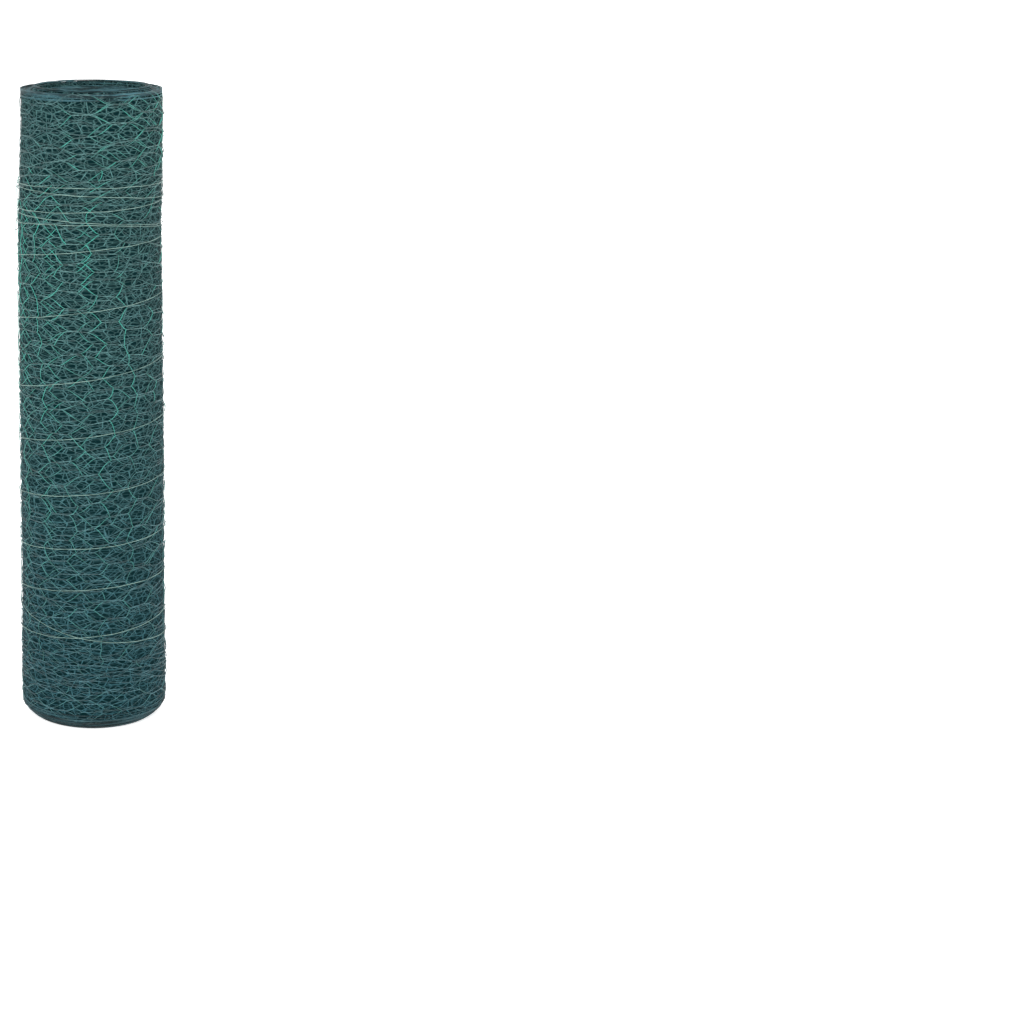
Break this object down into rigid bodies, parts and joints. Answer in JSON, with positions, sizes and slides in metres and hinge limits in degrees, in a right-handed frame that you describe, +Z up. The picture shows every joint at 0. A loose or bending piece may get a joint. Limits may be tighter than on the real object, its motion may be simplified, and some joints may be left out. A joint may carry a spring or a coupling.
{
  "type": "wire mesh fence roll",
  "caption": "Upright roll of green coated hexagonal wire mesh for fencing, wound round an open bore and tied with a thin binding wire.",
  "frame": {"origin": "middle of the lower end of the roll, on the floor", "axes": "+Z up along the roll's bore; the side that faces the picture's camera is -Y"},
  "size_m": [0.238, 0.2384, 1],
  "materials": {
    "coated_mesh": "satin green plastic coating on steel wire",
    "galvanised_wire": "dull galvanised"
  },
  "bodies": {
    "root": {"mesh_roll": "coated_mesh", "binding_wire": "galvanised_wire"}
  },
  "joints": []
}
